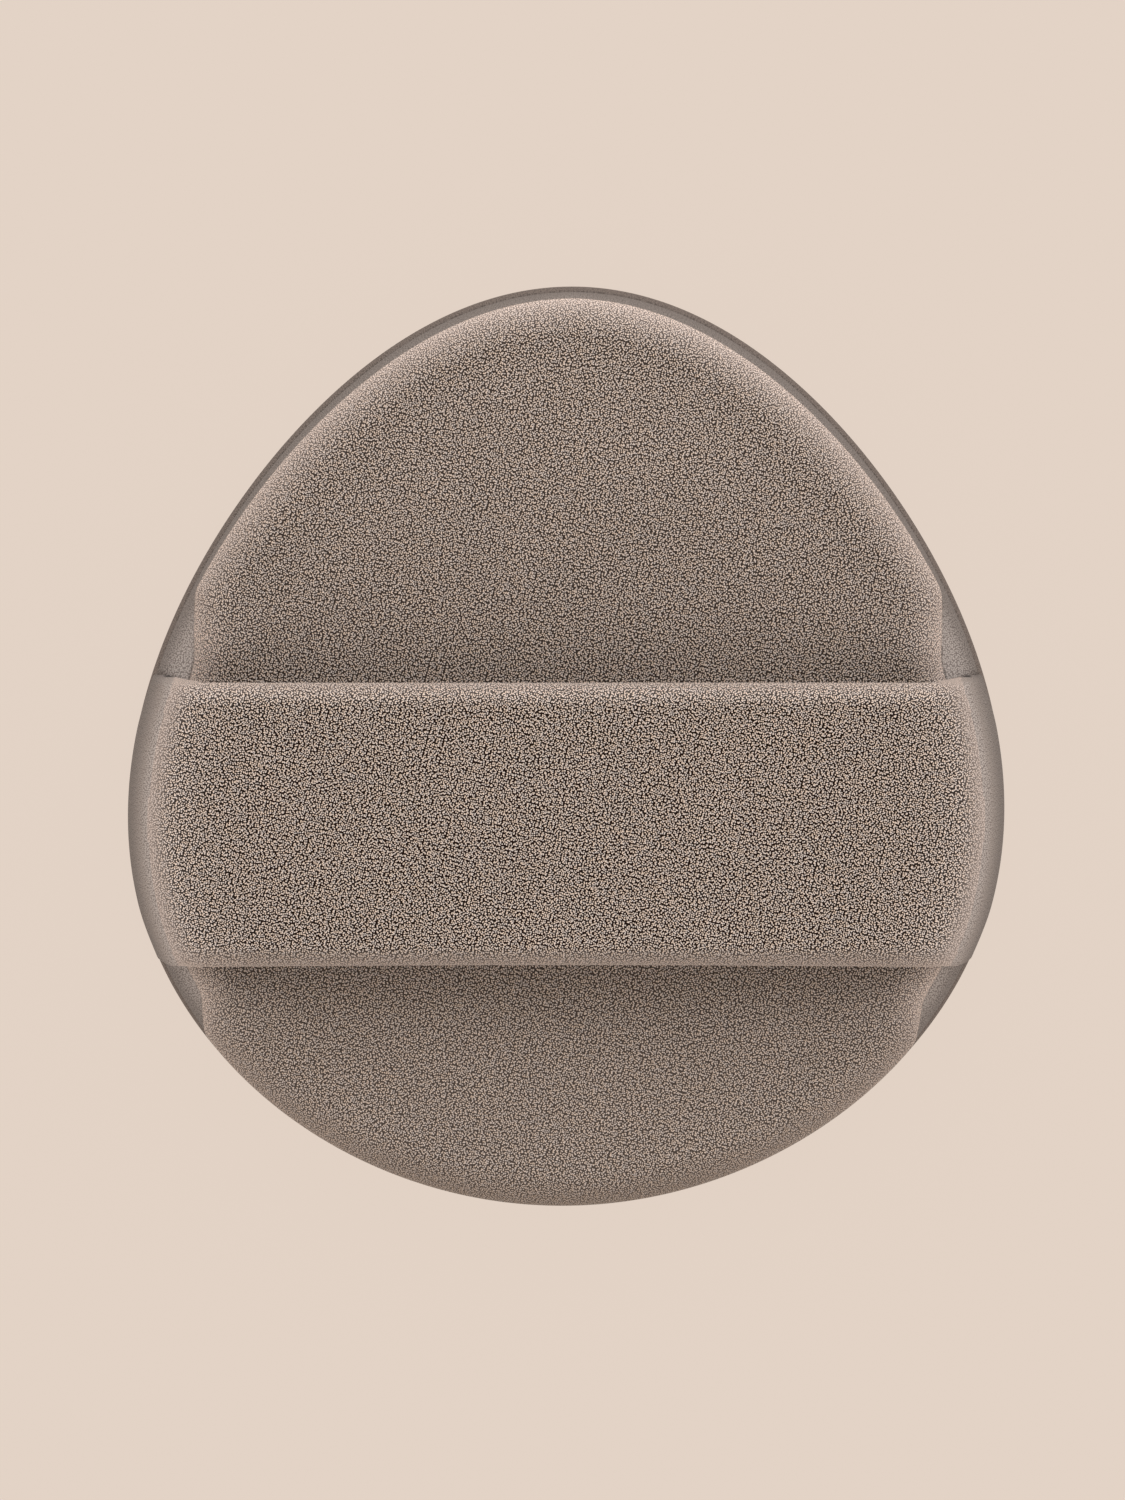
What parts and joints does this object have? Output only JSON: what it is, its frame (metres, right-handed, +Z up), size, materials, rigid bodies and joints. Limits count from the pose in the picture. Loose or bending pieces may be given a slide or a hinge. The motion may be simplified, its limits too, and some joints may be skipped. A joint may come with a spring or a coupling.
{
  "type": "cushion puff",
  "caption": "Egg-shaped make-up cushion puff: soft flocked pad with a rounded face, a bonded rim seam and a padded finger strap across its back.",
  "frame": {"origin": "middle of the object's box, on the flat face that the puff lies on", "axes": "+Z up from the face to the finger strap, +Y towards the pointed end of the egg, +X to the right with the pointed end away from the viewer"},
  "size_m": [0.0648, 0.068, 0.0213],
  "materials": {
    "back_velour": "short flocked nap, matt",
    "face_velour": "fine smooth velour, matt",
    "lining_tape": "woven tape, matt",
    "face_foam": "soft open-cell sponge",
    "back_foam": "firm open-cell sponge",
    "film": "thin clear film",
    "hot_melt": "pressed hot-melt bond"
  },
  "bodies": {
    "pad": {"face_skin": "face_velour", "face_barrier_film": "film", "face_sponge": "face_foam", "core_bond_web": "hot_melt", "rim_seam_tip": "hot_melt", "rim_seam_heel": "hot_melt", "back_sponge": "back_foam", "back_bond_film": "film", "back_skin": "back_velour", "strap_end_left": "back_velour", "strap_end_right": "back_velour"},
    "strap": {"strap_skin": "back_velour", "strap_sponge": "back_foam", "strap_lining": "lining_tape"}
  },
  "joints": [
    {"name": "strap_lift", "type": "slide", "parent": "pad", "child": "strap", "axis": [0, 0, 1], "range_m": [-0.004, 0.008], "stiffness_N_per_m": 120, "deforming": ["strap_end_left", "strap_end_right"]}
  ]
}
